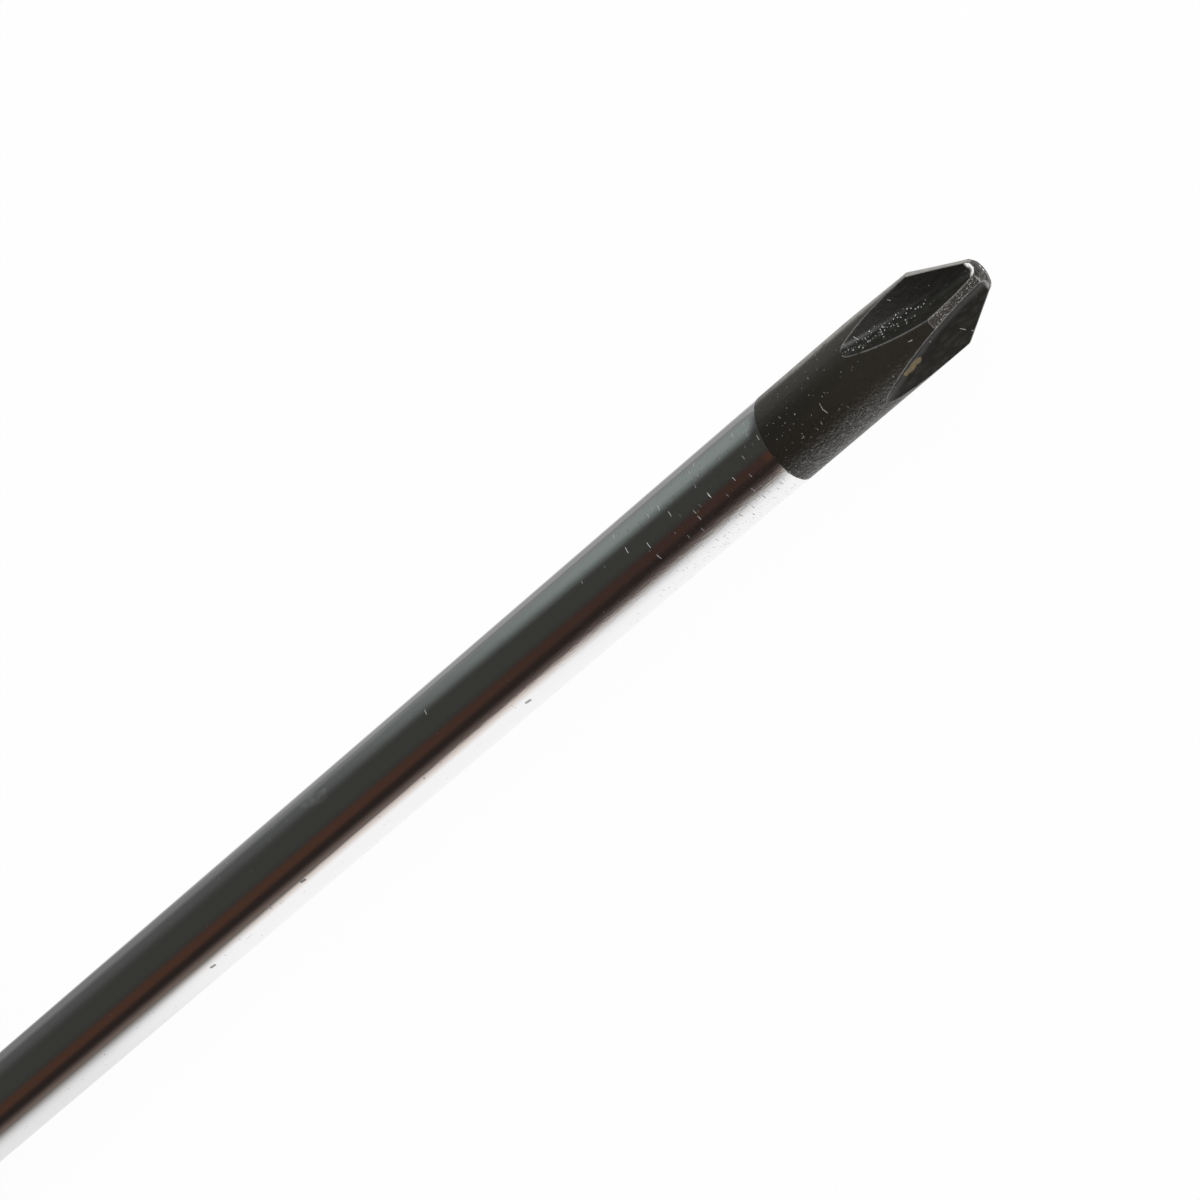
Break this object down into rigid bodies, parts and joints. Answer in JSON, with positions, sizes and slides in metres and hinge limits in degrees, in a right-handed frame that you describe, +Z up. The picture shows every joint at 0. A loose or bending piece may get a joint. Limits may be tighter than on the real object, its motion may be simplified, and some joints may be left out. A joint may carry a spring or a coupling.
{
  "type": "cross-head screwdriver",
  "caption": "Hand screwdriver with a round plated blade, a blackened four-winged cross point, and a moulded handle with a guard, soft grip pads and a hanging hole.",
  "frame": {"origin": "on the bench, under the middle of the tool's length, with the tool lying on a flat of its guard and grip", "axes": "+X along the blade towards the cross point, +Z up"},
  "size_m": [0.244, 0.0326, 0.03],
  "materials": {
    "plated_steel": "bright plated bar, the last 17 mm at the point blackened and semi-matte",
    "core_plastic": "fine satin moulding",
    "shell_plastic": "semi-gloss moulding",
    "soft_grip": "matte soft-touch",
    "cap_plastic": "fine satin moulding"
  },
  "bodies": {
    "root": {"blade": "plated_steel", "handle_core": "core_plastic", "handle_shell": "shell_plastic", "turning_ring": "soft_grip", "grip_pad_1": "soft_grip", "grip_pad_2": "soft_grip", "grip_pad_3": "soft_grip", "grip_pad_4": "soft_grip", "grip_pad_5": "soft_grip", "grip_pad_6": "soft_grip", "end_cap": "cap_plastic"}
  },
  "joints": []
}
